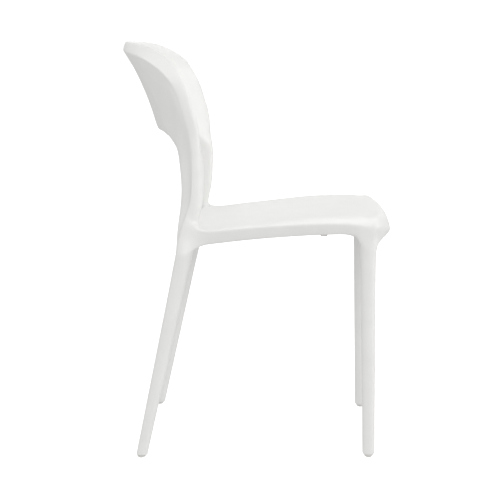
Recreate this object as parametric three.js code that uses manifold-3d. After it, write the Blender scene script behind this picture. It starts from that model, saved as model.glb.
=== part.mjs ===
// A white stacking side chair, moulded in one shot: seat, back hood, side posts
// and four hollow legs are one polypropylene body. Each leg is closed by a nylon
// glide plug with a soft pad in it, and a stacking buffer sits under each side rail.
//
// Millimetres. +X forward, +Y the sitter's left, +Z up. The origin is on the floor,
// under the middle of the chair's length and width.
//
// The body is a control cage of four-sided faces. The points listed below lie on the
// finished surface: fitCage finds the control points that reach them, and one step of
// Catmull-Clark subdivision rounds the cage.

import * as THREE from 'three';
import { mergeVertices } from 'three/addons/utils/BufferGeometryUtils.js';
import Module from 'manifold-3d';

// ---- Driving dimensions ----

const HEIGHT = 796;            // of the hood's ridge over the floor
const SEAT_PANEL = 6;          // thickness of the seat between its rails
const RAIL_WIDTH = 38;         // the rail that runs round under the seat's rim
const SKIRT_TUCK = 8;          // how far the skirt's lower edge lies inside the rim
const HOOD_WALL = 9;           // thickness of the back panel, measured along X
const GAP = 0.3;               // play between separate pieces

const FRONT_FOOT = [224, 212];  // X and Y of the leg axes, on the floor and at LEG_TOP_Z
const FRONT_LEG_TOP = [220.5, 199];
const REAR_FOOT = [-217.5, 227];
const REAR_LEG_TOP = [-131.5, 207.5];
const LEG_TOP_Z = 405;

const BORE_RADIUS = 7.3;       // the leg's open end, which takes the plug
const BORE_DEPTH = 36;
const LEG_END_Z = 4.7;
const FLANGE_RADIUS = 8.4;
const FLANGE_LOW_Z = 1.4;
const PAD_RADIUS = 6.4;
const PAD_TOP_Z = 2.7;

const BUFFER_X = 135;
const BUFFER_LENGTH = 13;
const BUFFER_WIDTH = 10;
const BUFFER_DROP = 4;

// ---- Curves that the outlines follow ----

// A smooth value through [key, value] stations listed in rising order of key.
function through(stations, key) {
  const last = stations.length - 1;
  if (key <= stations[0][0]) return stations[0][1];
  if (key >= stations[last][0]) return stations[last][1];
  const k = stations.findIndex(([at]) => at > key) - 1;
  const slope = (a, b) => (stations[b][1] - stations[a][1]) / (stations[b][0] - stations[a][0]);
  const startSlope = slope(Math.max(k - 1, 0), k + 1);
  const endSlope = slope(k, Math.min(k + 2, last));
  const span = stations[k + 1][0] - stations[k][0];
  const t = (key - stations[k][0]) / span;
  const t2 = t * t;
  const t3 = t2 * t;
  return (2 * t3 - 3 * t2 + 1) * stations[k][1] + (t3 - 2 * t2 + t) * span * startSlope
    + (3 * t2 - 2 * t3) * stations[k + 1][1] + (t3 - t2) * span * endSlope;
}

const mix = (a, b, t) => a + (b - a) * t;

// Seat, by X: half width at the rim, height of the rim edge, height of the raised
// crest just inside it, how far the middle dishes below the crest, depth of the skirt.
const HALF_WIDTH = [[-115, 211], [-46, 216], [30, 220.5], [112, 222], [190, 221.5], [231, 215]];
const RIM_Z = [[-110, 439], [-45, 445], [32, 452], [109, 456], [147, 457], [185, 456], [231, 451]];
const CREST_Z = [
  [-100, 439.5], [-45, 447.5], [32, 457], [109, 466], [184, 469],
  [220, 468], [246, 464], [260, 457],
];
const DISH = [[-100, 13], [110, 14], [184, 10], [220, 5], [246, 1.5], [260, 0]];
const SKIRT = [[-100, 27], [-20, 25], [120, 22.5], [240, 20]];
const CREST_SHARE = 0.87;      // where the crest lies between middle and rim

function seatTop(x, y) {
  const width = through(HALF_WIDTH, x);
  const crestY = CREST_SHARE * width;
  const crest = through(CREST_Z, x);
  if (y <= crestY) return crest - through(DISH, x) * (1 - (y / crestY) ** 2);
  const out = (y - crestY) / (width - crestY);
  const rim = through(RIM_Z, x);
  return rim + (crest - rim) * (1 - out * out);
}

// Rear face of the back: where its middle line lies in X at each height, and how
// strongly it cups round the sitter (X grows with the square of Y).
const SPINE_X = [
  [437, -191], [465, -186], [520, -180.5], [559, -183], [598, -189.5], [625, -198],
  [664, -210.5], [703, -225.5], [744, -245], [775, -263.5], [800, -279],
];
const CUP = [
  [465, 0.0014], [520, 0.00138], [598, 0.00153], [625, 0.00164], [664, 0.00175],
  [694, 0.00192], [744, 0.00229], [775, 0.00261], [800, 0.00272],
];
const backX = (y, z) => through(SPINE_X, z) + through(CUP, z) * y * y;
const onBack = ([y, z, lead = 0]) => [backX(y, z) + lead, y, z];

// ---- Cage bookkeeping ----

const ROWS = 20;               // from the seat's front edge to the top of the hood
const COLUMNS = 6;             // from the middle line to the rim
const SEAT_REAR_ROW = 10;
const HOOD_ROW = 15;           // lower edge of the hood
const POST_COLUMN = 4;         // inner side of the side posts
const FRONT_LEG_ROW = 1;
const REAR_LEG_ROW = 9;

// Between seat and hood only the two posts exist.
const cellExists = (row, column) => column >= POST_COLUMN || row < SEAT_REAR_ROW || row >= HOOD_ROW;

const underLeg = (row, column) => column >= POST_COLUMN
  && ((row >= FRONT_LEG_ROW && row < FRONT_LEG_ROW + 2)
    || (row >= REAR_LEG_ROW && row < REAR_LEG_ROW + 2));

// ---- Upper and front skin: rows of [x, y, z], for the sitter's left half ----

const SEAT_COLUMNS = [0, 0.28, 0.54, 0.75, 0.83, 0.92, 1];
const SEAT_ROWS = [            // X at the middle and at the rim
  [260, 233], [238, 216], [209, 194], [165, 160], [112, 112],
  [58, 60], [6, 8], [-46, -44], [-96, -90],
];

const FRONT_EDGE = [
  [272, 0, 427], [271, 58, 428], [267.5, 108, 431.5], [262, 146, 436.5],
  [256, 170, 440.5], [249, 191, 444.5], [241, 206, 447.5],
];

const SEAT_REAR_EDGE = [
  [-146, 0, 429], [-144, 55, 429.5], [-138, 106, 432], [-127, 148, 437],
  [-113, 179, 444], [-105, 197, 447], [-112, 213, 448],
];

// Side posts, bottom to top: inner front edge, front ridge, then the outer rear
// crease as [y, z] (its X comes from the rear face).
const POST_FRONT_ROWS = [
  [[-110, 180, 468], [-107, 200.5, 463]],
  [[-104.5, 178.5, 496.5], [-102.5, 201, 494.5]],
  [[-102, 177.5, 534], [-100.5, 203.5, 536]],
  [[-104.5, 172, 576], [-101, 206, 582]],
];
const POST_CREASE = [[209.5, 465], [211.5, 496.5], [214, 536], [216, 580]];

// The hood's ridge is the outermost line of its front: from the post up to the
// shoulder, and from the middle of the top out to the shoulder's corner. Each point is
// [y, z, lead], where lead is how far it stands in front of the rear face.
const RIDGE_SIDE = [[206, 635, 24.5], [202.5, 670, 24], [194.5, 704, 24], [181, 737, 26]];
const RIDGE_TOP = [
  [0, HEIGHT, 17], [32, 795.8, 18.5], [64, 794.5, 22.5], [94.5, 791.5, 26.5],
  [123, 785, 29], [158, 763.5, 29],
];

// The hood's trailing crease, as [y, z].
const CREASE_SIDE = [[215.7, 627], [211.3, 661], [204, 693], [193.5, 716.5], [179, 736]];
const CREASE_TOP = [
  [0, 781.5], [29, 780.7], [58, 778.3], [87.5, 775.3], [114, 771], [137, 763.5], [158.5, 752],
];

// Lower edge of the hood, as [y, z].
const HOOD_LOWER_EDGE = [[0, 625.8], [49.5, 625.8], [96.5, 625.3], [134, 619.5], [157.5, 604]];

// The hood's front face between its lower edge and its ridge: how far up each row
// lies, and how much thicker than the plain wall it is at each column.
const HOOD_RISE = [0, 0.3, 0.6, 0.84];
const EXTRA_WALL = [
  [0, 0, 1, 5, 15],
  [0, 0.3, 1.2, 4, 10],
  [1, 1.3, 2.2, 4, 7.5],
  [5, 5.3, 6, 7, 9],
];

function seatRow(centreX, rimX) {
  return SEAT_COLUMNS.map((share) => {
    const x = mix(centreX, rimX, share * share);
    const y = share * through(HALF_WIDTH, rimX);
    return [x, y, share === 1 ? through(RIM_Z, rimX) : seatTop(x, y)];
  });
}

function upperSkin() {
  const rows = [FRONT_EDGE, ...SEAT_ROWS.map(([centre, rim]) => seatRow(centre, rim)), SEAT_REAR_EDGE];
  const blanks = Array(POST_COLUMN).fill(null);
  POST_FRONT_ROWS.forEach((front, step) => rows.push([...blanks, ...front, onBack(POST_CREASE[step])]));
  HOOD_RISE.forEach((rise, step) => {
    const inner = HOOD_LOWER_EDGE.map(([lowY, lowZ], column) => {
      const y = mix(lowY, RIDGE_TOP[column][0], rise);
      const z = mix(lowZ, RIDGE_TOP[column][1], rise);
      return onBack([y, z, HOOD_WALL + EXTRA_WALL[step][column]]);
    });
    rows.push([...inner, onBack(RIDGE_SIDE[step]), onBack(CREASE_SIDE[step])]);
  });
  rows.push([...RIDGE_TOP.map(onBack), onBack(CREASE_SIDE[HOOD_RISE.length])]);
  rows.push(CREASE_TOP.map(onBack));
  return rows;
}

// ---- Under and rear skin, row by row beneath the upper skin ----

const FRONT_UNDER_EDGE = [
  [259, 0, 412], [258, 57, 413], [256, 106, 416], [252, 144, 420.5],
  [248, 170, 420.5], [242, 190, 424], [235, 205, 428],
];
// Collars that the legs grow from, one row for each cage row, inner to outer.
const FRONT_COLLAR = [
  [[234, 183, 413], [239, 199.5, 412], [230, 212.5, 421]],
  [[218, 180, 418], null, [213, 216, 428]],
  [[200, 183, 427], [198, 199, 427], [196, 213.5, 432.5]],
];
const REAR_COLLAR = [
  [[-99, 180, 416], [-97, 194, 415], [-95, 207, 415]],
  [[-119, 181, 420], null, [-119, 216, 423]],
  [[-143.5, 185, 437], [-145, 200, 431], [-140, 212, 435]],
];
// Heights of the rear skin's rows up the post, at its inner edge, middle and outer edge.
const POST_REAR_ROWS = [
  [[178, 479], [195, 481], [206, 483]],
  [[177, 522], [195.5, 524], [209, 526]],
  [[171.5, 567.5], [193.5, 571], [209.5, 574]],
];
const ARCH_CENTRE_Z = 640;     // the rear face's rows shrink towards this height
const STRIP = 9;               // first row or column inside the crease
const INSET = 26;              // second one

// A point on the rear face, drawn in from the trailing crease by a set distance.
function insideCrease([y, z], distance) {
  const down = z > ARCH_CENTRE_Z ? z - ARCH_CENTRE_Z : 0;
  const reach = Math.hypot(y, down);
  const share = (reach - distance) / reach;
  const newY = y * share;
  const newZ = z - down * (1 - share);
  return onBack([newY, newZ]);
}

function underSeatRow(rowIndex, upper) {
  const [, rimX] = SEAT_ROWS[rowIndex - 1];
  const width = through(HALF_WIDTH, rimX);
  const railZ = through(RIM_Z, rimX) - through(SKIRT, rimX);
  const panel = upper.slice(0, 3).map(([x, y, z]) => [x, y, z - SEAT_PANEL]);
  const wallY = width - SKIRT_TUCK - RAIL_WIDTH;
  panel.push([rimX, wallY - 5, seatTop(rimX, wallY) - SEAT_PANEL]);
  const rail = [
    [rimX, wallY + 2, railZ + 1],
    [rimX, width - SKIRT_TUCK - RAIL_WIDTH / 2, railZ - 1],
    [rimX, width - SKIRT_TUCK, railZ],
  ];
  return [...panel, ...rail];
}

function lowerSkin(upper) {
  const rows = [FRONT_UNDER_EDGE];
  for (let row = 1; row < SEAT_REAR_ROW; row += 1) rows.push(underSeatRow(row, upper[row]));
  rows.push(SEAT_REAR_EDGE.map(([x, y, z]) => [x + 2, y, z - 14]));
  for (let row = SEAT_REAR_ROW + 1; row < HOOD_ROW; row += 1) rows.push(Array(COLUMNS + 1).fill(null));

  // Cross rails under the seat's front and rear.
  for (let column = 0; column < POST_COLUMN; column += 1) {
    const [frontX, frontY, frontZ] = FRONT_UNDER_EDGE[column];
    rows[1][column] = [frontX - 18, frontY, frontZ + 1];
    rows[2][column] = [frontX - 26, frontY, seatTop(frontX - 26, frontY) - 2 * SEAT_PANEL];
    rows[REAR_LEG_ROW][column][2] -= 10;
  }
  FRONT_COLLAR.forEach((collar, step) => rows[FRONT_LEG_ROW + step].splice(POST_COLUMN, 3, ...collar));
  REAR_COLLAR.forEach((collar, step) => rows[REAR_LEG_ROW + step].splice(POST_COLUMN, 3, ...collar));
  POST_REAR_ROWS.forEach((heights, step) => {
    rows[REAR_LEG_ROW + 3 + step].splice(POST_COLUMN, 3, ...heights.map(onBack));
  });

  // Rear face of the hood: rows rise from the lower edge to just inside the crease.
  const innerTop = CREASE_TOP.map((point) => insideCrease(point, INSET));
  HOOD_RISE.forEach((rise, step) => {
    const inner = HOOD_LOWER_EDGE.map(([lowY, lowZ], column) => onBack([
      mix(lowY, innerTop[column][1], rise),
      mix(lowZ, innerTop[column][2], rise),
    ]));
    const side = CREASE_SIDE[step];
    rows.push([...inner, insideCrease(side, INSET), insideCrease(side, STRIP)]);
  });
  const corner = insideCrease(CREASE_TOP[COLUMNS], INSET + STRIP);
  rows.push([
    ...innerTop.slice(0, COLUMNS - 1), corner, insideCrease(CREASE_SIDE[HOOD_RISE.length], STRIP),
  ]);
  rows.push(CREASE_TOP.map((point) => insideCrease(point, STRIP)));
  return rows;
}

// ---- Legs: rings from the collar down to the foot, then up inside the bore ----

const FRONT_RADII = [[LEG_TOP_Z, 16.6], [380, 15], [306, 14], [185, 13.1], [62, 12.4], [13, 12.2]];
const REAR_RADII = [[LEG_TOP_Z - 5, 17], [377, 16.2], [312, 15], [205, 13.7], [82, 12.1], [13, 11.3]];
const CAVITY_TOP_Z = 355;

function legRings(radii, axisAt) {
  const footRadius = radii[radii.length - 1][1];
  const outside = radii.map(([z, radius]) => ({ z, radius }));
  const footEnd = [
    { z: LEG_END_Z + 2.6, radius: footRadius - 0.7 },
    { z: LEG_END_Z, radius: footRadius - 2.6 },
    { z: LEG_END_Z, radius: BORE_RADIUS, sharp: true },
  ];
  const bore = [
    { z: LEG_END_Z + 12, radius: BORE_RADIUS },
    { z: BORE_DEPTH + 2, radius: BORE_RADIUS },
    { z: BORE_DEPTH + 10, radius: 8 },
    { z: CAVITY_TOP_Z - 12, radius: 9.5 },
    { z: CAVITY_TOP_Z, radius: 6.5 },
  ];
  return [...outside, ...footEnd, ...bore].map((ring) => ({ ...ring, centre: axisAt(ring.z) }));
}

const axisBetween = (foot, top) => (z) => foot.map((value, k) => mix(value, top[k], z / LEG_TOP_Z));
const frontAxis = axisBetween(FRONT_FOOT, FRONT_LEG_TOP);
const rearAxis = axisBetween(REAR_FOOT, REAR_LEG_TOP);

// ---- Building the cage ----

const RING_SIDES = 8;

class Cage {
  constructor() {
    this.points = [];
    this.faces = [];
    this.creases = new Map();
  }

  addPoint([x, y, z], side) {
    this.points.push(new THREE.Vector3(x, y * side, z));
    return this.points.length - 1;
  }

  addFace(corners, side) {
    this.faces.push(side > 0 ? corners : [...corners].reverse());
  }

  crease(a, b, weight) {
    this.creases.set(edgeKey(a, b), weight);
  }
}

const edgeKey = (a, b) => (a < b ? `${a}_${b}` : `${b}_${a}`);

// One skin's point numbers; the middle column is shared by both halves.
function numberSkin(cage, rows, side, otherHalf) {
  return rows.map((row, j) => row.map((point, i) => {
    if (!point) return null;
    return i === 0 && otherHalf ? otherHalf[j][0] : cage.addPoint(point, side);
  }));
}

function addSkins(cage, upper, lower, side) {
  for (let j = 0; j < ROWS; j += 1) {
    for (let i = 0; i < COLUMNS; i += 1) {
      if (!cellExists(j, i)) continue;
      cage.addFace([upper[j][i], upper[j][i + 1], upper[j + 1][i + 1], upper[j + 1][i]], side);
      if (underLeg(j, i)) continue;
      cage.addFace([lower[j][i], lower[j + 1][i], lower[j + 1][i + 1], lower[j][i + 1]], side);
    }
  }
}

// Walls join the two skins wherever the upper one has an open edge.
function addWalls(cage, upperFaces, lowerOf) {
  const directed = new Set();
  for (const face of upperFaces) {
    face.forEach((a, k) => directed.add(`${a}>${face[(k + 1) % 4]}`));
  }
  for (const face of upperFaces) {
    face.forEach((a, k) => {
      const b = face[(k + 1) % 4];
      if (!directed.has(`${b}>${a}`)) cage.faces.push([b, a, lowerOf.get(a), lowerOf.get(b)]);
    });
  }
}

function addLeg(cage, lower, startRow, rings, side) {
  const [first, middle, last] = [0, 1, 2].map((step) => lower[startRow + step].slice(POST_COLUMN));
  let ring = [first[0], first[1], first[2], middle[2], last[2], last[1], last[0], middle[0]];
  for (const { z, radius, centre, sharp } of rings) {
    const next = ring.map((_, k) => {
      const angle = ((k - 1) / RING_SIDES) * 2 * Math.PI;
      const x = centre[0] + radius * Math.cos(angle);
      const y = centre[1] + radius * Math.sin(angle);
      return cage.addPoint([x, y, z], side);
    });
    next.forEach((point, k) => {
      const after = (k + 1) % RING_SIDES;
      cage.addFace([ring[k], point, next[after], ring[after]], side);
      if (sharp) cage.crease(point, next[after], 1);
    });
    ring = next;
  }
  const end = rings[rings.length - 1];
  const tip = cage.addPoint([end.centre[0], end.centre[1], end.z + 2], side);
  for (let k = 0; k < RING_SIDES; k += 2) {
    cage.addFace([ring[k], tip, ring[(k + 2) % RING_SIDES], ring[k + 1]], side);
  }
}

// How sharp the long rim edge is, row by row: it fades where the skirt, the leg and
// the post run into each other at the seat's rear corner.
function rimSharpness(row) {
  if (row < REAR_LEG_ROW - 1) return 1;
  const fade = [0.6, 0.15, 0, 0.2, 0.7];
  return fade[row - REAR_LEG_ROW + 1] ?? 1;
}

function creaseEdges(cage, upper, lower) {
  for (let j = 0; j < ROWS; j += 1) {
    cage.crease(upper[j][COLUMNS], upper[j + 1][COLUMNS], rimSharpness(j));
  }
  for (let i = 0; i < COLUMNS; i += 1) {
    cage.crease(upper[0][i], upper[0][i + 1], 1);
    cage.crease(upper[ROWS][i], upper[ROWS][i + 1], 1);
    if (i < POST_COLUMN) cage.crease(lower[0][i], lower[0][i + 1], 0.6);
  }
  for (let j = FRONT_LEG_ROW + 2; j < REAR_LEG_ROW; j += 1) {
    cage.crease(lower[j][COLUMNS], lower[j + 1][COLUMNS], 0.7);
  }
  for (let i = 0; i < POST_COLUMN - 1; i += 1) {
    cage.crease(lower[HOOD_ROW][i], lower[HOOD_ROW][i + 1], 0.6);
    cage.crease(upper[HOOD_ROW][i], upper[HOOD_ROW][i + 1], 0.6);
  }
}

function buildCage() {
  const cage = new Cage();
  const upperRows = upperSkin();
  const lowerRows = lowerSkin(upperRows);
  const lowerOf = new Map();
  const halves = [];
  for (const side of [1, -1]) {
    const other = halves[0];
    const upper = numberSkin(cage, upperRows, side, other && other.upper);
    const lower = numberSkin(cage, lowerRows, side, other && other.lower);
    upper.forEach((row, j) => row.forEach((point, i) => lowerOf.set(point, lower[j][i])));
    halves.push({ upper, lower, side });
  }
  for (const { upper, lower, side } of halves) addSkins(cage, upper, lower, side);
  const upperPoints = new Set(lowerOf.keys());
  const upperFaces = cage.faces.filter((face) => face.every((point) => upperPoints.has(point)));
  addWalls(cage, upperFaces, lowerOf);
  for (const { upper, lower, side } of halves) {
    addLeg(cage, lower, FRONT_LEG_ROW, legRings(FRONT_RADII, frontAxis), side);
    addLeg(cage, lower, REAR_LEG_ROW, legRings(REAR_RADII, rearAxis), side);
    creaseEdges(cage, upper, lower);
  }
  return cage;
}

// ---- Catmull-Clark subdivision ----

// What meets at each edge and each point of the cage.
function neighbours(cage) {
  const edges = new Map();
  const around = cage.points.map(() => ({ faces: [], edges: [] }));
  cage.faces.forEach((face, f) => {
    face.forEach((a, k) => {
      const b = face[(k + 1) % face.length];
      const key = edgeKey(a, b);
      if (!edges.has(key)) {
        edges.set(key, { key, ends: [a, b], faces: [], crease: cage.creases.get(key) ?? 0 });
        around[a].edges.push(edges.get(key));
        around[b].edges.push(edges.get(key));
      }
      edges.get(key).faces.push(f);
      around[a].faces.push(f);
    });
  });
  return { edges, around };
}

const average = (vectors) => vectors
  .reduce((sum, vector) => sum.add(vector), new THREE.Vector3())
  .divideScalar(vectors.length);

const farEnd = (edge, point) => (edge.ends[0] === point ? edge.ends[1] : edge.ends[0]);

// The two creased edges through a point and how sharp they are, or null.
function creaseThrough(around, point) {
  const creased = around[point].edges.filter((edge) => edge.crease > 0);
  if (creased.length !== 2) return null;
  return {
    ends: creased.map((edge) => farEnd(edge, point)),
    weight: (creased[0].crease + creased[1].crease) / 2,
  };
}

// Where each cage point ends up on the fully subdivided surface.
function limitPoint(cage, around, point) {
  const { points, faces } = cage;
  const here = points[point];
  const valence = around[point].edges.length;
  const limit = here.clone().multiplyScalar(valence * valence);
  for (const edge of around[point].edges) limit.addScaledVector(points[farEnd(edge, point)], 4);
  for (const f of around[point].faces) {
    const opposite = faces[f][(faces[f].indexOf(point) + 2) % 4];
    limit.add(points[opposite]);
  }
  limit.divideScalar(valence * (valence + 5));
  const crease = creaseThrough(around, point);
  if (crease) {
    const onCrease = here.clone().multiplyScalar(4);
    for (const end of crease.ends) onCrease.add(points[end]);
    limit.lerp(onCrease.divideScalar(6), crease.weight);
  }
  return limit;
}

// Moves the control points until the subdivided surface passes through the listed ones.
function fitCage(cage, rounds) {
  const wanted = cage.points.map((point) => point.clone());
  const { around } = neighbours(cage);
  for (let round = 0; round < rounds; round += 1) {
    const limits = cage.points.map((_, point) => limitPoint(cage, around, point));
    cage.points.forEach((point, k) => point.add(wanted[k]).sub(limits[k]));
  }
}

function subdivide(cage) {
  const { edges, around } = neighbours(cage);
  const { points, faces } = cage;
  const finer = new Cage();
  const add = (vector) => finer.points.push(vector) - 1;

  const facePoints = faces.map((face) => average(face.map((k) => points[k])));
  const movedPoints = points.map((here, k) => {
    const { faces: near, edges: spokes } = around[k];
    const valence = spokes.length;
    const moved = average(near.map((f) => facePoints[f]));
    for (const edge of spokes) {
      moved.addScaledVector(points[edge.ends[0]], 1 / valence);
      moved.addScaledVector(points[edge.ends[1]], 1 / valence);
    }
    moved.addScaledVector(here, valence - 3).divideScalar(valence);
    const crease = creaseThrough(around, k);
    if (crease) {
      const onCrease = here.clone().multiplyScalar(6);
      for (const end of crease.ends) onCrease.add(points[end]);
      moved.lerp(onCrease.divideScalar(8), crease.weight);
    }
    return add(moved);
  });
  const faceNumbers = facePoints.map(add);
  const edgeNumbers = new Map();
  for (const edge of edges.values()) {
    const middle = average(edge.ends.map((k) => points[k]));
    const smooth = average([...edge.ends.map((k) => points[k]), ...edge.faces.map((f) => facePoints[f])]);
    edgeNumbers.set(edge.key, add(smooth.lerp(middle, edge.crease)));
  }
  faces.forEach((face, f) => {
    face.forEach((corner, k) => {
      const after = edgeNumbers.get(edgeKey(corner, face[(k + 1) % 4]));
      const before = edgeNumbers.get(edgeKey(corner, face[(k + 3) % 4]));
      finer.faces.push([movedPoints[corner], after, faceNumbers[f], before]);
    });
  });
  return finer;
}

// Each four-sided face becomes two triangles, split from its corner of the coarser face to
// that face's middle, so that every edge point keeps just four neighbours.
function cageGeometry({ points, faces }) {
  const index = faces.flatMap(([corner, after, middle, before]) => [
    corner, after, middle, corner, middle, before,
  ]);
  const geometry = new THREE.BufferGeometry();
  geometry.setAttribute('position', new THREE.Float32BufferAttribute(points.flatMap((p) => p.toArray()), 3));
  geometry.setIndex(index);
  geometry.computeVertexNormals();
  return geometry;
}

function bodyGeometry() {
  const cage = buildCage();
  fitCage(cage, 12);
  return cageGeometry(subdivide(cage));
}

// ---- Glides ----

const GLIDE_SIDES = 24;

function latheGeometry(profile) {
  const points = profile.map(([radius, z]) => new THREE.Vector2(radius, z));
  const geometry = new THREE.LatheGeometry(points, GLIDE_SIDES);
  geometry.rotateX(Math.PI / 2);
  return geometry;
}

// The plug closes the leg's end: a rounded flange, a ribbed shank up the bore, and a
// recess below for the pad.
function plugGeometry() {
  const recessRadius = PAD_RADIUS + GAP;
  const recessTop = PAD_TOP_Z + GAP;
  const flangeTop = LEG_END_Z - 3 * GAP;
  const shank = BORE_RADIUS - GAP;
  const shankTop = BORE_DEPTH - 2;
  return latheGeometry([
    [0, recessTop],
    [recessRadius, recessTop],
    [recessRadius, FLANGE_LOW_Z],
    [FLANGE_RADIUS - 1.1, FLANGE_LOW_Z],
    [FLANGE_RADIUS - 0.3, FLANGE_LOW_Z + 0.4],
    [FLANGE_RADIUS, FLANGE_LOW_Z + 1.3],
    [FLANGE_RADIUS, flangeTop],
    [shank - 0.8, flangeTop],
    [shank - 0.8, 12],
    [shank, 14],
    [shank - 0.8, 16],
    [shank - 0.8, 24],
    [shank, 26],
    [shank - 0.8, 28],
    [shank - 2.5, shankTop],
    [0, shankTop],
  ]);
}

function padGeometry() {
  return latheGeometry([
    [0, 0],
    [PAD_RADIUS - 0.7, 0],
    [PAD_RADIUS, 0.7],
    [PAD_RADIUS, PAD_TOP_Z],
    [0, PAD_TOP_Z],
  ]);
}

// The pieces in a leg's end lean with the leg: each level shifts along the leg's axis.
function leanWith(geometry, axisAt, side) {
  const [x0, y0] = axisAt(0);
  const [x1, y1] = axisAt(1);
  const matrix = new THREE.Matrix4().set(
    1, 0, x1 - x0, x0,
    0, 1, (y1 - y0) * side, y0 * side,
    0, 0, 1, 0,
    0, 0, 0, 1,
  );
  return geometry.applyMatrix4(matrix);
}

// ---- Solids ----

const wasm = await Module();
wasm.setup();

function toSolid(geometry) {
  const bare = geometry.clone();
  bare.deleteAttribute('normal');
  bare.deleteAttribute('uv');
  const merged = mergeVertices(bare, 1e-4);
  return new wasm.Manifold(new wasm.Mesh({
    numProp: 3,
    vertProperties: new Float32Array(merged.getAttribute('position').array),
    triVerts: new Uint32Array(merged.getIndex().array),
  }));
}

function toGeometry(solid) {
  const mesh = solid.getMesh();
  const geometry = new THREE.BufferGeometry();
  geometry.setAttribute('position', new THREE.BufferAttribute(new Float32Array(mesh.vertProperties), 3));
  geometry.setIndex(new THREE.BufferAttribute(new Uint32Array(mesh.triVerts), 1));
  geometry.computeVertexNormals();
  return geometry;
}

// A buffer is a round-ended block whose top is cut to the rail's underside.
function bufferGeometry(body, side) {
  const railZ = through(RIM_Z, BUFFER_X) - through(SKIRT, BUFFER_X);
  const railY = through(HALF_WIDTH, BUFFER_X) - SKIRT_TUCK - RAIL_WIDTH * 0.3;
  const endRadius = BUFFER_WIDTH / 2;
  const straight = (BUFFER_LENGTH - BUFFER_WIDTH) / 2;
  const outline = new THREE.Shape();
  outline.absarc(straight, 0, endRadius, -Math.PI / 2, Math.PI / 2);
  outline.absarc(-straight, 0, endRadius, Math.PI / 2, Math.PI * 1.5);
  const bevel = 1;
  const block = new THREE.ExtrudeGeometry(outline, {
    depth: 12,
    bevelEnabled: true,
    bevelThickness: bevel,
    bevelSize: bevel,
    bevelOffset: -bevel,
    bevelSegments: 2,
    curveSegments: 8,
  });
  block.translate(BUFFER_X, railY * side, railZ - BUFFER_DROP + bevel);
  const loweredBody = body.translate([0, 0, -GAP]);
  const cut = toSolid(block).subtract(loweredBody);
  const lowest = cut.decompose().sort((a, b) => a.boundingBox().min[2] - b.boundingBox().min[2])[0];
  return toGeometry(lowest);
}

// ---- Materials and assembly ----

const finish = (color, roughness) => new THREE.MeshStandardMaterial({ color, roughness, metalness: 0 });

function piece(name, geometry, material) {
  const mesh = new THREE.Mesh(geometry, material);
  mesh.name = name;
  return mesh;
}

const chair = new THREE.Group();
const bodyShape = bodyGeometry();
const bodySolid = toSolid(bodyShape);
chair.add(piece('body', bodyShape, finish(0xf2f2f1, 0.45)));

for (const [sideName, side] of [['left', 1], ['right', -1]]) {
  for (const [endName, axisAt] of [['front', frontAxis], ['rear', rearAxis]]) {
    const place = `${endName}_${sideName}`;
    chair.add(piece(`glide_plug_${place}`, leanWith(plugGeometry(), axisAt, side), finish(0xe9e9e6, 0.5)));
    chair.add(piece(`glide_pad_${place}`, leanWith(padGeometry(), axisAt, side), finish(0x6f7072, 0.9)));
  }
  chair.add(piece(`stack_buffer_${sideName}`, bufferGeometry(bodySolid, side), finish(0xeeeeec, 0.7)));
}

export default chair;
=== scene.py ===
"""Finished look of a one-piece moulded stacking chair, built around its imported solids.

Metres, with +X to the chair's front, +Z up and the floor at zero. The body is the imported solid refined
to a smooth surface; the glides under the feet and the stacking buffers under the seat are made here.
"""

import math

import bmesh
import bpy
from mathutils import Matrix, Vector


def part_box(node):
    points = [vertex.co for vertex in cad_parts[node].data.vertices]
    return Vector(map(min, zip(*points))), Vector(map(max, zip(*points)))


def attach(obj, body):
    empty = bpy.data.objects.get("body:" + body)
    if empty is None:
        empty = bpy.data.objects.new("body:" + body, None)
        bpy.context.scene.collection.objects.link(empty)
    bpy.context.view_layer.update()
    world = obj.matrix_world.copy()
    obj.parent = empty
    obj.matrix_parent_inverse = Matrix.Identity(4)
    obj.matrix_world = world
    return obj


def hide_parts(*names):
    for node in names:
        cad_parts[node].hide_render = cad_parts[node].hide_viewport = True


bl_info = {
    "name": "Moulded stacking chair",
    "version": (1, 0, 0),
    "blender": (4, 5, 0),
    "location": "View3D > Sidebar > Chair",
    "description": "Makes the finished pieces of a moulded stacking chair around its packed solids",
    "category": "Object",
}

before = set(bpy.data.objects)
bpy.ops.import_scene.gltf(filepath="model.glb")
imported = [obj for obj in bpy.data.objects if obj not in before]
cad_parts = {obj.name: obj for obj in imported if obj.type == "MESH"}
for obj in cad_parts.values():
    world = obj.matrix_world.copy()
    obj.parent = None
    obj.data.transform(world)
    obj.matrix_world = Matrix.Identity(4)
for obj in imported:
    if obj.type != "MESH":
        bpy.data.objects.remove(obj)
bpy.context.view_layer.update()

MM = 0.001
MERGE_DISTANCE = 0.01 * MM
LEVEL_REACH = 0.05 * MM         # how near to a height a vertex counts as lying on it
LATHE_STEPS = 64                # round a lathed piece
RING_STEPS = 48                 # round a ring bead's path
BEAD_SIDES = 8                  # round a bead's own section
CORNERS = ("front_left", "front_right", "rear_left", "rear_right")
SIDES = ("left", "right")


# ---- Colour and nodes ----

def linear(hex_colour):
    """The linear colour of an sRGB hex value such as "F2F2F0"."""
    channels = [int(hex_colour[i:i + 2], 16) / 255 for i in (0, 2, 4)]
    return [c / 12.92 if c <= 0.04045 else ((c + 0.055) / 1.055) ** 2.4 for c in channels]


def add_node(tree, kind, inputs=None, **settings):
    """Adds a node with its settings. Each input is a value, a socket to link from, or a list of sockets."""
    made = tree.nodes.new(kind)
    for name, value in settings.items():
        setattr(made, name, value)
    for name, value in (inputs or {}).items():
        for source in value if isinstance(value, list) else [value]:
            if isinstance(source, bpy.types.NodeSocket):
                tree.links.new(source, made.inputs[name])
            else:
                made.inputs[name].default_value = source
    return made


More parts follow.
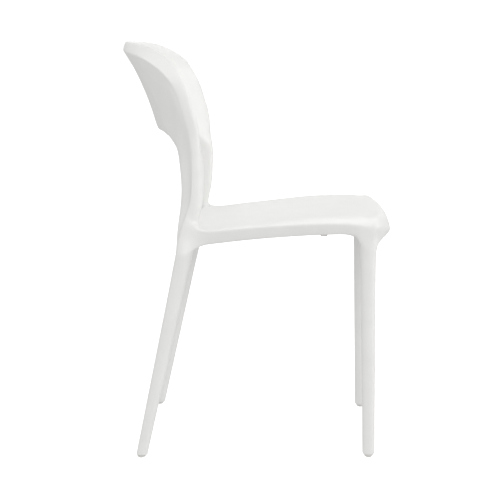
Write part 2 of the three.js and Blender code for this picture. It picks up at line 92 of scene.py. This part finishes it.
def new_material(name):
    """An empty material and its node tree."""
    material = bpy.data.materials.new(name)
    material.use_nodes = True
    material.node_tree.nodes.clear()
    return material, material.node_tree


# ---- Materials ----

PATTERN_LOW, PATTERN_HIGH = 0.3, 0.7    # a noise pattern's values lie mostly between these


def moulded_skin(name, light, dark, patches, roughness, index, bumps):
    """A moulded material whose patches shift its colour and roughness, under bumps laid on each other.

    The patches are a size and a detail, and each bump is a size, a detail, a strength and a depth.
    Sizes and depths are in millimetres.
    """
    material, tree = new_material(name)
    place = add_node(tree, "ShaderNodeTexCoord").outputs["Object"]
    fields = [
        add_node(tree, "ShaderNodeTexNoise", {
            "Vector": place,
            "Scale": 1 / (size * MM),
            "Detail": detail,
        }).outputs["Fac"]
        for size, detail, *_ in (patches, *bumps)
    ]
    mix, rough = [
        add_node(tree, "ShaderNodeMapRange", {
            "Value": fields[0],
            "From Min": PATTERN_LOW,
            "From Max": PATTERN_HIGH,
            "To Min": low,
            "To Max": high,
        }).outputs["Result"]
        for low, high in ((0, 1), roughness)
    ]
    ramp = add_node(tree, "ShaderNodeValToRGB", {"Fac": mix})
    ramp.color_ramp.elements[0].color = (*dark, 1)
    ramp.color_ramp.elements[1].color = (*light, 1)
    normal = {}
    for field, (_, _, strength, depth) in zip(fields[1:], bumps):
        raised = add_node(tree, "ShaderNodeBump", {
            "Height": field,
            "Strength": strength,
            "Distance": depth * MM,
            **normal,
        })
        normal = {"Normal": raised.outputs["Normal"]}
    shader = add_node(tree, "ShaderNodeBsdfPrincipled", {
        "Base Color": ramp.outputs["Color"],
        "Roughness": rough,
        "IOR": index,
        **normal,
    })
    add_node(tree, "ShaderNodeOutputMaterial", {"Surface": shader.outputs["BSDF"]})
    return material


def moulded_polypropylene(settings):
    """White polypropylene from a fine-textured steel mould: a satin skin with soft, wide highlights.

    Uneven walls cool unevenly, which leaves wide, very shallow waves, and wear leaves smoother patches.
    The mould's own texture is about 0.3 mm, too fine to show, so it is drawn several times coarser.
    """
    return moulded_skin(
        "moulded_polypropylene", settings.colour, settings.shade,
        patches=(35, 4.0), roughness=(0.36, 0.46), index=1.49,
        bumps=[(settings.wave_size / MM, 2.0, 0.35, 0.6), (settings.grain_size / MM, 3.0, 0.25, 0.08)])


def moulded_nylon(settings):
    """White nylon of the glide plugs: warmer and glossier than the body, with small scuffs all over."""
    return moulded_skin(
        "moulded_nylon", settings.plug_colour, settings.plug_scuff,
        patches=(1.6, 5.0), roughness=(0.3, 0.5), index=1.53, bumps=[(1.6, 5.0, 0.3, 0.05)])


def grey_glide_rubber(settings):
    """Grey rubber of the glide pads: matt, with grime held in its fine grain."""
    return moulded_skin(
        "glide_rubber", settings.pad_colour, settings.pad_grime,
        patches=(0.9, 4.0), roughness=(0.7, 0.9), index=1.52, bumps=[(0.9, 4.0, 0.5, 0.08)])


def moulded_elastomer(settings):
    """White thermoplastic elastomer of the stacking buffers: soft, matt and slightly rubbed."""
    return moulded_skin(
        "moulded_elastomer", settings.colour, settings.rubbed,
        patches=(1.4, 4.0), roughness=(0.55, 0.7), index=1.5, bumps=[(1.4, 4.0, 0.3, 0.05)])


# ---- Geometry Nodes ----

def new_tree(name, sizes):
    """A Geometry Nodes tree with named inputs, its group input node and each input's identifier."""
    tree = bpy.data.node_groups.new(name, "GeometryNodeTree")
    tree.interface.new_socket("Geometry", in_out="INPUT", socket_type="NodeSocketGeometry")
    tree.interface.new_socket("Geometry", in_out="OUTPUT", socket_type="NodeSocketGeometry")
    identifiers = {}
    for label, kind in sizes:
        socket = tree.interface.new_socket(label, in_out="INPUT", socket_type=f"NodeSocket{kind}")
        identifiers[label] = socket.identifier
    return tree, add_node(tree, "NodeGroupInput").outputs, identifiers


def end_tree(tree, given, beads):
    """Joins the swept beads to the piece they sit on, and ends the tree."""
    joined = add_node(tree, "GeometryNodeJoinGeometry", {"Geometry": [given["Geometry"], beads]})
    smooth = add_node(tree, "GeometryNodeSetShadeSmooth", {"Geometry": joined.outputs["Geometry"]})
    real = add_node(tree, "GeometryNodeRealizeInstances", {"Geometry": smooth.outputs["Geometry"]})
    finish = add_node(tree, "GeometryNodeSetMaterial", {
        "Geometry": real.outputs["Geometry"],
        "Material": given["Material"],
    })
    add_node(tree, "NodeGroupOutput", {"Geometry": finish.outputs["Geometry"]})


def swept(tree, rows, bead_radius, caps=False):
    """Turns rows of curves into round beads."""
    profile = add_node(tree, "GeometryNodeCurvePrimitiveCircle", {
        "Resolution": BEAD_SIDES,
        "Radius": bead_radius,
    })
    return add_node(tree, "GeometryNodeCurveToMesh", {
        "Curve": rows,
        "Profile Curve": profile.outputs["Curve"],
        "Fill Caps": caps,
    }).outputs["Mesh"]


def ring_tree():
    """Round beads in rows: ribs up a shank, or ridges round each other on a disc."""
    tree, given, identifiers = new_tree("ring_beads", [
        ("Count", "Int"), ("First Radius", "Float"), ("Radius Step", "Float"),
        ("Start", "Vector"), ("Step", "Vector"), ("Bead Radius", "Float"), ("Material", "Material"),
    ])
    line = add_node(tree, "GeometryNodeMeshLine", {
        "Count": given["Count"],
        "Start Location": given["Start"],
        "Offset": given["Step"],
    })
    index = add_node(tree, "GeometryNodeInputIndex").outputs["Index"]
    radius = add_node(tree, "ShaderNodeMath", {
        0: index,
        1: given["Radius Step"],
        2: given["First Radius"],
    }, operation="MULTIPLY_ADD")
    circle = add_node(tree, "GeometryNodeCurvePrimitiveCircle", {
        "Resolution": RING_STEPS,
        "Radius": 1.0,
    })
    placed = add_node(tree, "GeometryNodeInstanceOnPoints", {
        "Points": line.outputs["Mesh"],
        "Instance": circle.outputs["Curve"],
        "Scale": radius.outputs["Value"],
    })
    rows = add_node(tree, "GeometryNodeRealizeInstances", {"Geometry": placed.outputs["Instances"]})
    end_tree(tree, given, swept(tree, rows.outputs["Geometry"], given["Bead Radius"]))
    return tree, identifiers


def bar_tree():
    """Round bars side by side, each along Y: grip ribs across a buffer."""
    tree, given, identifiers = new_tree("bar_beads", [
        ("Count", "Int"), ("Start", "Vector"), ("Step", "Vector"),
        ("Half Length", "Vector"), ("Bead Radius", "Float"), ("Material", "Material"),
    ])
    line = add_node(tree, "GeometryNodeMeshLine", {
        "Count": given["Count"],
        "Start Location": given["Start"],
        "Offset": given["Step"],
    })
    other_end = add_node(tree, "ShaderNodeVectorMath", {
        0: given["Half Length"],
        1: (-1, -1, -1),
    }, operation="MULTIPLY")
    bar = add_node(tree, "GeometryNodeCurvePrimitiveLine", {
        "Start": other_end.outputs["Vector"],
        "End": given["Half Length"],
    })
    placed = add_node(tree, "GeometryNodeInstanceOnPoints", {
        "Points": line.outputs["Mesh"],
        "Instance": bar.outputs["Curve"],
    })
    rows = add_node(tree, "GeometryNodeRealizeInstances", {"Geometry": placed.outputs["Instances"]})
    end_tree(tree, given, swept(tree, rows.outputs["Geometry"], given["Bead Radius"], caps=True))
    return tree, identifiers


def apply_modifier(piece, modifier):
    """Replaces a piece's mesh by what its one modifier makes of it."""
    bpy.context.view_layer.update()
    evaluated = piece.evaluated_get(bpy.context.evaluated_depsgraph_get())
    made = bpy.data.meshes.new_from_object(evaluated)
    piece.modifiers.remove(modifier)
    piece.data = made


def add_beads(piece, made_tree, values):
    """Adds the beads that a tree makes to a piece's mesh."""
    tree, identifiers = made_tree
    modifier = piece.modifiers.new("beads", "NODES")
    modifier.node_group = tree
    for label, value in values.items():
        modifier[identifiers[label]] = value
    apply_modifier(piece, modifier)


# ---- Meshes ----

def finished_mesh(name, work):
    """The mesh that a bmesh holds, with the bmesh freed."""
    mesh = bpy.data.meshes.new(name)
    work.to_mesh(mesh)
    work.free()
    return mesh


def new_piece(name, mesh, material):
    """An object at the origin with that mesh and material."""
    piece = bpy.data.objects.new(name, mesh)
    bpy.context.scene.collection.objects.link(piece)
    mesh.materials.clear()
    mesh.materials.append(material)
    return piece


def settle(piece, node):
    """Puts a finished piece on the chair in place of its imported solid."""
    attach(piece, "root")
    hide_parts(node)


def merged_copy(node):
    """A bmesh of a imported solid, with the loose triangles joined at their corners."""
    work = bmesh.new()
    work.from_mesh(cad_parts[node].data)
    bmesh.ops.remove_doubles(work, verts=work.verts, dist=MERGE_DISTANCE)
    return work


def undo_triangles(work):
    """Joins the body's triangles back to the four-sided faces that they were cut from.

    The solid is one refinement of a coarser cage, cut from each coarse corner to the middle of the
    coarse face. Edge points keep four neighbours and all others have more, which marks every cut.
    """
    cuts = [edge for edge in work.edges if all(len(v.link_edges) > 4 for v in edge.verts)]
    if 2 * len(cuts) != len(work.faces):
        raise RuntimeError(f"{len(cuts)} cuts do not pair up {len(work.faces)} triangles")
    bmesh.ops.dissolve_edges(work, edges=cuts, use_verts=False)


def crease_sharp_edges(work, angle, weight):
    """Keeps the edges that turn more than the angle tight when the mesh is subdivided."""
    layer = work.edges.layers.float.new("crease_edge")
    for edge in work.edges:
        if edge.is_manifold and edge.calc_face_angle() > angle:
            edge[layer] = weight


def refine(piece, levels):
    """Subdivides a piece's surface that many times, with smooth shading."""
    modifier = piece.modifiers.new("refine", "SUBSURF")
    modifier.levels = modifier.render_levels = levels
    apply_modifier(piece, modifier)
    piece.data.shade_smooth()


def lathe_mesh(name, profile):
    """A round mesh from (radius, height) points in millimetres; a radius of 0 closes an end."""
    work = bmesh.new()
    rings = []
    for radius, height in profile:
        if radius == 0:
            rings.append([work.verts.new((0, 0, height * MM))])
            continue
        turns = [2 * math.pi * step / LATHE_STEPS for step in range(LATHE_STEPS)]
        rings.append([
            work.verts.new((radius * MM * math.cos(turn), radius * MM * math.sin(turn), height * MM))
            for turn in turns
        ])
    for lower, upper in zip(rings, rings[1:]):
        for step in range(LATHE_STEPS):
            following = (step + 1) % LATHE_STEPS
            corners = [lower[step % len(lower)], lower[following % len(lower)],
                       upper[following % len(upper)], upper[step % len(upper)]]
            work.faces.new(list(dict.fromkeys(corners)))
    bmesh.ops.recalc_face_normals(work, faces=work.faces)
    mesh = finished_mesh(name, work)
    mesh.shade_smooth()
    return mesh


def level_middle(node, height):
    """Middle of a round solid's outline at a height, from the vertices that lie there."""
    level = [v.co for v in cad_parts[node].data.vertices if abs(v.co.z - height) < LEVEL_REACH]
    middle = [(min(c[axis] for c in level) + max(c[axis] for c in level)) / 2 for axis in (0, 1)]
    return Vector(middle)


def lean(node):
    """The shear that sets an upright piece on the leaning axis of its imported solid."""
    low, high = (corner.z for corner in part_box(node))
    start, end = level_middle(node, low), level_middle(node, high)
    slope = (end - start) / (high - low)
    shift = start - slope * low
    return Matrix(((1, 0, slope.x, shift.x), (0, 1, slope.y, shift.y), (0, 0, 1, 0), (0, 0, 0, 1)))


# ---- Settings ----

class BodySettings(bpy.types.PropertyGroup):
    """Sizes and colours of the moulded body."""

    colour: bpy.props.FloatVectorProperty(
        name="Colour", description="Lighter tone of the white skin",
        subtype="COLOR", default=linear("F1F1EF"), min=0, max=1)
    shade: bpy.props.FloatVectorProperty(
        name="Shade", description="Darker tone of the white skin",
        subtype="COLOR", default=linear("EEEEEC"), min=0, max=1)
    grain_size: bpy.props.FloatProperty(
        name="Grain size", description="Size of the skin's fine texture", subtype="DISTANCE",
        unit="LENGTH", default=2.2 * MM, min=0.1 * MM)
    wave_size: bpy.props.FloatProperty(
        name="Wave size", description="Width of the skin's shallow waves", subtype="DISTANCE",
        unit="LENGTH", default=45 * MM, min=5 * MM)
    crease_angle: bpy.props.FloatProperty(
        name="Crease angle", description="Edges that turn more than this stay tight",
        subtype="ANGLE", unit="ROTATION", default=math.radians(48), min=0, max=math.pi)
    crease_weight: bpy.props.FloatProperty(
        name="Crease weight", description="How tight those edges stay", default=0.34, min=0, max=1)
    levels: bpy.props.IntProperty(
        name="Levels", description="Times the surface is refined", default=2, min=1, max=2)


class GlideSettings(bpy.types.PropertyGroup):
    """Sizes and colours of the glide plugs and pads."""

    plug_colour: bpy.props.FloatVectorProperty(
        name="Plug colour", description="Clean nylon", subtype="COLOR",
        default=linear("EFEEEA"), min=0, max=1)
    plug_scuff: bpy.props.FloatVectorProperty(
        name="Plug scuffs", description="Scuffed nylon", subtype="COLOR",
        default=linear("DEDCD6"), min=0, max=1)
    pad_colour: bpy.props.FloatVectorProperty(
        name="Pad colour", description="Clean grey rubber", subtype="COLOR",
        default=linear("A3A3A1"), min=0, max=1)
    pad_grime: bpy.props.FloatVectorProperty(
        name="Pad grime", description="Grey rubber with grime in its grain", subtype="COLOR",
        default=linear("8E8E8B"), min=0, max=1)
    rib_count: bpy.props.IntProperty(
        name="Ribs", description="Grip ribs round a plug's shank", default=5, min=1)
    ridge_count: bpy.props.IntProperty(
        name="Ridges", description="Ridges on a pad's underside", default=4, min=1)


class BufferSettings(bpy.types.PropertyGroup):
    """Sizes and colours of the stacking buffers."""

    colour: bpy.props.FloatVectorProperty(
        name="Colour", description="Clean elastomer", subtype="COLOR",
        default=linear("ECECEA"), min=0, max=1)
    rubbed: bpy.props.FloatVectorProperty(
        name="Rubbed colour", description="Rubbed elastomer", subtype="COLOR",
        default=linear("DDDDDA"), min=0, max=1)
    rib_count: bpy.props.IntProperty(
        name="Ribs", description="Ribs across a buffer's underside", default=4, min=2)


class StageSettings(bpy.types.PropertyGroup):
    """Floor, light and camera."""

    floor_size: bpy.props.FloatProperty(
        name="Floor size", description="Side of the square floor", subtype="DISTANCE",
        unit="LENGTH", default=60.0, min=1)
    sky: bpy.props.FloatProperty(
        name="Sky", description="Strength of the even light from all round", default=0.64, min=0)
    floor_glow: bpy.props.FloatProperty(
        name="Floor glow", description="Light that the floor gives of its own", default=0.85, min=0)
    top_power: bpy.props.FloatProperty(
        name="Top light", description="Power of the large light overhead",
        subtype="POWER", unit="POWER", default=37.0, min=0)
    front_power: bpy.props.FloatProperty(
        name="Front light", description="Power of the light that faces the chair's front",
        subtype="POWER", unit="POWER", default=38.5, min=0)
    side_power: bpy.props.FloatProperty(
        name="Side light", description="Power of the light that faces the chair's right side",
        subtype="POWER", unit="POWER", default=44.5, min=0)
    rear_power: bpy.props.FloatProperty(
        name="Rear light", description="Power of the light that faces the chair's back",
        subtype="POWER", unit="POWER", default=6.0, min=0)
    far_power: bpy.props.FloatProperty(
        name="Far light", description="Power of the light that faces the chair's left side",
        subtype="POWER", unit="POWER", default=3.5, min=0)
    lens: bpy.props.FloatProperty(
        name="Lens", description="Focal length in millimetres", default=122.2, min=1)
    camera_place: bpy.props.FloatVectorProperty(
        name="Camera place", description="Where the camera stands", subtype="TRANSLATION",
        unit="LENGTH", default=(0.0769, -3.4315, 0.8605))
    camera_pitch: bpy.props.FloatProperty(
        name="Camera pitch", description="How far the camera looks down", subtype="ANGLE",
        unit="ROTATION", default=math.radians(8.055))
    camera_yaw: bpy.props.FloatProperty(
        name="Camera yaw", description="How far the camera turns to the chair's rear",
        subtype="ANGLE", unit="ROTATION", default=math.radians(1.486))


# ---- Operators ----

class CHAIR_OT_body(bpy.types.Operator):
    """Make the moulded body: seat, skirt, posts, hood and legs in one smooth surface"""

    bl_idname = "chair.body"
    bl_label = "Body"

    def execute(self, context):
        settings = context.scene.chair_body
        work = merged_copy("body")
        undo_triangles(work)
        crease_sharp_edges(work, settings.crease_angle, settings.crease_weight)
        mesh = finished_mesh("moulded_body", work)
        piece = new_piece("moulded_body", mesh, moulded_polypropylene(settings))
        refine(piece, settings.levels)
        settle(piece, "body")
        return {"FINISHED"}


PLUG_PROFILE = [  # radius and height, from the recess that holds the pad to the shank's top
    (0, 3.0), (6.4, 3.0), (6.7, 2.8), (6.7, 1.7), (6.9, 1.42), (7.3, 1.4), (7.8, 1.55), (8.2, 1.95),
    (8.38, 2.6), (8.38, 3.5), (8.1, 3.8), (6.5, 3.8), (6.2, 4.2), (6.2, 33), (4.6, 34), (0, 34),
]
RIB_START = 12                  # height of the lowest rib on the shank
RIB_STEP = 4.2
RIB_RADIUS = 6.2                # of the shank that the ribs stand on
RIB_BEAD = 0.7
PAD_PROFILE = [
    (0, 0.45), (5.6, 0.45), (6.0, 0.5), (6.3, 0.8), (6.4, 1.2), (6.4, 2.4), (6.2, 2.65), (0, 2.7),
]
RIDGE_START = 1.3               # radius of a pad's innermost ridge
RIDGE_STEP = 1.35
RIDGE_BEAD = 0.45
BUFFER_BEAD = 0.4
BUFFER_RIB_FIELD = 0.25         # from the middle to the outermost rib, as a share of the length
BUFFER_RIB_REACH = 0.32         # half a rib's length, as a share of the width


class CHAIR_OT_glide_plugs(bpy.types.Operator):
    """Make the four ribbed plugs that close the legs"""

    bl_idname = "chair.glide_plugs"
    bl_label = "Glide plugs"

    def execute(self, context):
        settings = context.scene.chair_glides
        nylon = moulded_nylon(settings)
        rings = ring_tree()
        for corner in CORNERS:
            piece = new_piece(f"ribbed_plug_{corner}", lathe_mesh("plug", PLUG_PROFILE), nylon)
            add_beads(piece, rings, {
                "Count": settings.rib_count,
                "First Radius": RIB_RADIUS * MM,
                "Radius Step": 0.0,
                "Start": (0, 0, RIB_START * MM),
                "Step": (0, 0, RIB_STEP * MM),
                "Bead Radius": RIB_BEAD * MM,
                "Material": nylon,
            })
            node = f"glide_plug_{corner}"
            piece.data.transform(lean(node))
            settle(piece, node)
        return {"FINISHED"}


class CHAIR_OT_glide_pads(bpy.types.Operator):
    """Make the four soft pads, with ridges that grip the floor"""

    bl_idname = "chair.glide_pads"
    bl_label = "Glide pads"

    def execute(self, context):
        settings = context.scene.chair_glides
        rubber = grey_glide_rubber(settings)
        rings = ring_tree()
        for corner in CORNERS:
            piece = new_piece(f"ridged_pad_{corner}", lathe_mesh("pad", PAD_PROFILE), rubber)
            add_beads(piece, rings, {
                "Count": settings.ridge_count,
                "First Radius": RIDGE_START * MM,
                "Radius Step": RIDGE_STEP * MM,
                "Start": (0, 0, RIDGE_BEAD * MM),
                "Step": (0, 0, 0),
                "Bead Radius": RIDGE_BEAD * MM,
                "Material": rubber,
            })
            node = f"glide_pad_{corner}"
            piece.data.transform(lean(node))
            settle(piece, node)
        return {"FINISHED"}


class CHAIR_OT_stack_buffers(bpy.types.Operator):
    """Make the two buffers that keep stacked chairs apart"""

    bl_idname = "chair.stack_buffers"
    bl_label = "Stacking buffers"

    def execute(self, context):
        settings = context.scene.chair_buffers
        elastomer = moulded_elastomer(settings)
        bars = bar_tree()
        bead = BUFFER_BEAD * MM
        for side in SIDES:
            node = f"stack_buffer_{side}"
            mesh = finished_mesh(node, merged_copy(node))
            piece = new_piece(f"ribbed_buffer_{side}", mesh, elastomer)
            low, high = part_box(node)
            middle = (low + high) / 2
            reach = (high.x - low.x) * BUFFER_RIB_FIELD
            step = 2 * reach / (settings.rib_count - 1)
            add_beads(piece, bars, {
                "Count": settings.rib_count,
                "Start": (middle.x - reach, middle.y, low.z + bead),
                "Step": (step, 0, 0),
                "Half Length": (0, (high.y - low.y) * BUFFER_RIB_REACH, 0),
                "Bead Radius": bead,
                "Material": elastomer,
            })
            settle(piece, node)
        return {"FINISHED"}


def keep_off_the_chair(scenery):
    """Keeps scenery's brightness from lighting the chair."""
    scenery.visible_diffuse = False
    scenery.visible_glossy = False
    scenery.visible_transmission = False
    scenery.visible_shadow = False


def add_floor(settings):
    """A plain pale floor that gives light of its own, so that shadows on it stay faint."""
    half = settings.floor_size / 2
    mesh = bpy.data.meshes.new("floor")
    mesh.from_pydata(
        [(-half, -half, 0), (half, -half, 0), (half, half, 0), (-half, half, 0)], [], [(0, 1, 2, 3)])
    material, tree = new_material("pale_floor")
    shader = add_node(tree, "ShaderNodeBsdfPrincipled", {
        "Base Color": (*linear("F6F6F6"), 1),
        "Roughness": 0.9,
        "Emission Color": (1, 1, 1, 1),
        "Emission Strength": settings.floor_glow,
    })
    add_node(tree, "ShaderNodeOutputMaterial", {"Surface": shader.outputs["BSDF"]})
    keep_off_the_chair(new_piece("floor", mesh, material))


BACKDROP_REACH = 0.4            # the dome's radius, as a share of the floor's side
BACKDROP_GLOW = 1.1


def add_backdrop(settings):
    """A plain white dome that stands beyond the floor and lights nothing."""
    work = bmesh.new()
    radius = settings.floor_size * BACKDROP_REACH
    bmesh.ops.create_uvsphere(work, u_segments=48, v_segments=24, radius=radius)
    mesh = finished_mesh("backdrop", work)
    material, tree = new_material("white_backdrop")
    glow = add_node(tree, "ShaderNodeEmission", {
        "Color": (1, 1, 1, 1),
        "Strength": BACKDROP_GLOW,
    })
    add_node(tree, "ShaderNodeOutputMaterial", {"Surface": glow.outputs["Emission"]})
    keep_off_the_chair(new_piece("backdrop", mesh, material))


def add_sky(strength):
    """Even light from all round."""
    world = bpy.data.worlds.new("studio")
    world.use_nodes = True
    world.node_tree.nodes.clear()
    shader = add_node(world.node_tree, "ShaderNodeBackground", {
        "Color": (1, 1, 1, 1),
        "Strength": strength,
    })
    add_node(world.node_tree, "ShaderNodeOutputWorld", {"Surface": shader.outputs["Background"]})
    bpy.context.scene.world = world


CHAIR_MIDDLE = (0, 0, 0.45)     # what the lights are turned to
LIGHTS = (  # name, place and side length
    ("top", (0, 0, 4), 3),
    ("front", (4, 0, 1.2), 2.4),
    ("side", (0.4, -4.4, 2.0), 2.4),
    ("rear", (-4, 0, 1.6), 2.4),
    ("far", (0.5, 4.2, 1.6), 2.4),
)


def add_soft_light(name, place, size, power):
    """A large square light at a place, turned to the chair."""
    light = bpy.data.lights.new(name, "AREA")
    light.size = size
    light.energy = power
    made = bpy.data.objects.new(name, light)
    made.location = place
    made.rotation_euler = (Vector(CHAIR_MIDDLE) - Vector(place)).to_track_quat("-Z", "Y").to_euler()
    made.visible_camera = False
    bpy.context.scene.collection.objects.link(made)


def add_camera(settings):
    """The camera, which looks a little down on the chair's side."""
    data = bpy.data.cameras.new("camera")
    data.lens = settings.lens
    camera = bpy.data.objects.new("camera", data)
    camera.location = settings.camera_place
    camera.rotation_euler = (math.pi / 2 - settings.camera_pitch, 0, settings.camera_yaw)
    bpy.context.scene.collection.objects.link(camera)
    bpy.context.scene.camera = camera


class CHAIR_OT_stage(bpy.types.Operator):
    """Make the floor, the light and the camera"""

    bl_idname = "chair.stage"
    bl_label = "Stage"

    def execute(self, context):
        settings = context.scene.chair_stage
        context.scene.view_settings.view_transform = "Standard"
        add_floor(settings)
        add_sky(settings.sky)
        add_backdrop(settings)
        for name, place, size in LIGHTS:
            add_soft_light(name, place, size, getattr(settings, f"{name}_power"))
        add_camera(settings)
        return {"FINISHED"}


class CHAIR_PT_panel(bpy.types.Panel):
    """Lists the chair's pieces and settings in the sidebar"""

    bl_label = "Stacking chair"
    bl_space_type = "VIEW_3D"
    bl_region_type = "UI"
    bl_category = "Chair"

    def draw(self, context):
        for operator, group in STEPS:
            box = self.layout.box()
            box.operator(operator.bl_idname)
            settings = getattr(context.scene, group)
            for name in type(settings).__annotations__:
                box.prop(settings, name)


STEPS = (
    (CHAIR_OT_body, "chair_body"),
    (CHAIR_OT_glide_plugs, "chair_glides"),
    (CHAIR_OT_glide_pads, "chair_glides"),
    (CHAIR_OT_stack_buffers, "chair_buffers"),
    (CHAIR_OT_stage, "chair_stage"),
)
GROUPS = {
    "chair_body": BodySettings,
    "chair_glides": GlideSettings,
    "chair_buffers": BufferSettings,
    "chair_stage": StageSettings,
}


def register():
    """Registers the settings, the operators and the panel."""
    for name, group in GROUPS.items():
        bpy.utils.register_class(group)
        setattr(bpy.types.Scene, name, bpy.props.PointerProperty(type=group))
    for operator, _ in STEPS:
        bpy.utils.register_class(operator)
    bpy.utils.register_class(CHAIR_PT_panel)


def unregister():
    """Takes back what register does."""
    bpy.utils.unregister_class(CHAIR_PT_panel)
    for operator, _ in reversed(STEPS):
        bpy.utils.unregister_class(operator)
    for name, group in GROUPS.items():
        delattr(bpy.types.Scene, name)
        bpy.utils.unregister_class(group)


def main():
    """Makes the whole chair and its stage."""
    register()
    bpy.ops.chair.body()
    bpy.ops.chair.glide_plugs()
    bpy.ops.chair.glide_pads()
    bpy.ops.chair.stack_buffers()
    bpy.ops.chair.stage()


if __name__ == "__main__":
    main()
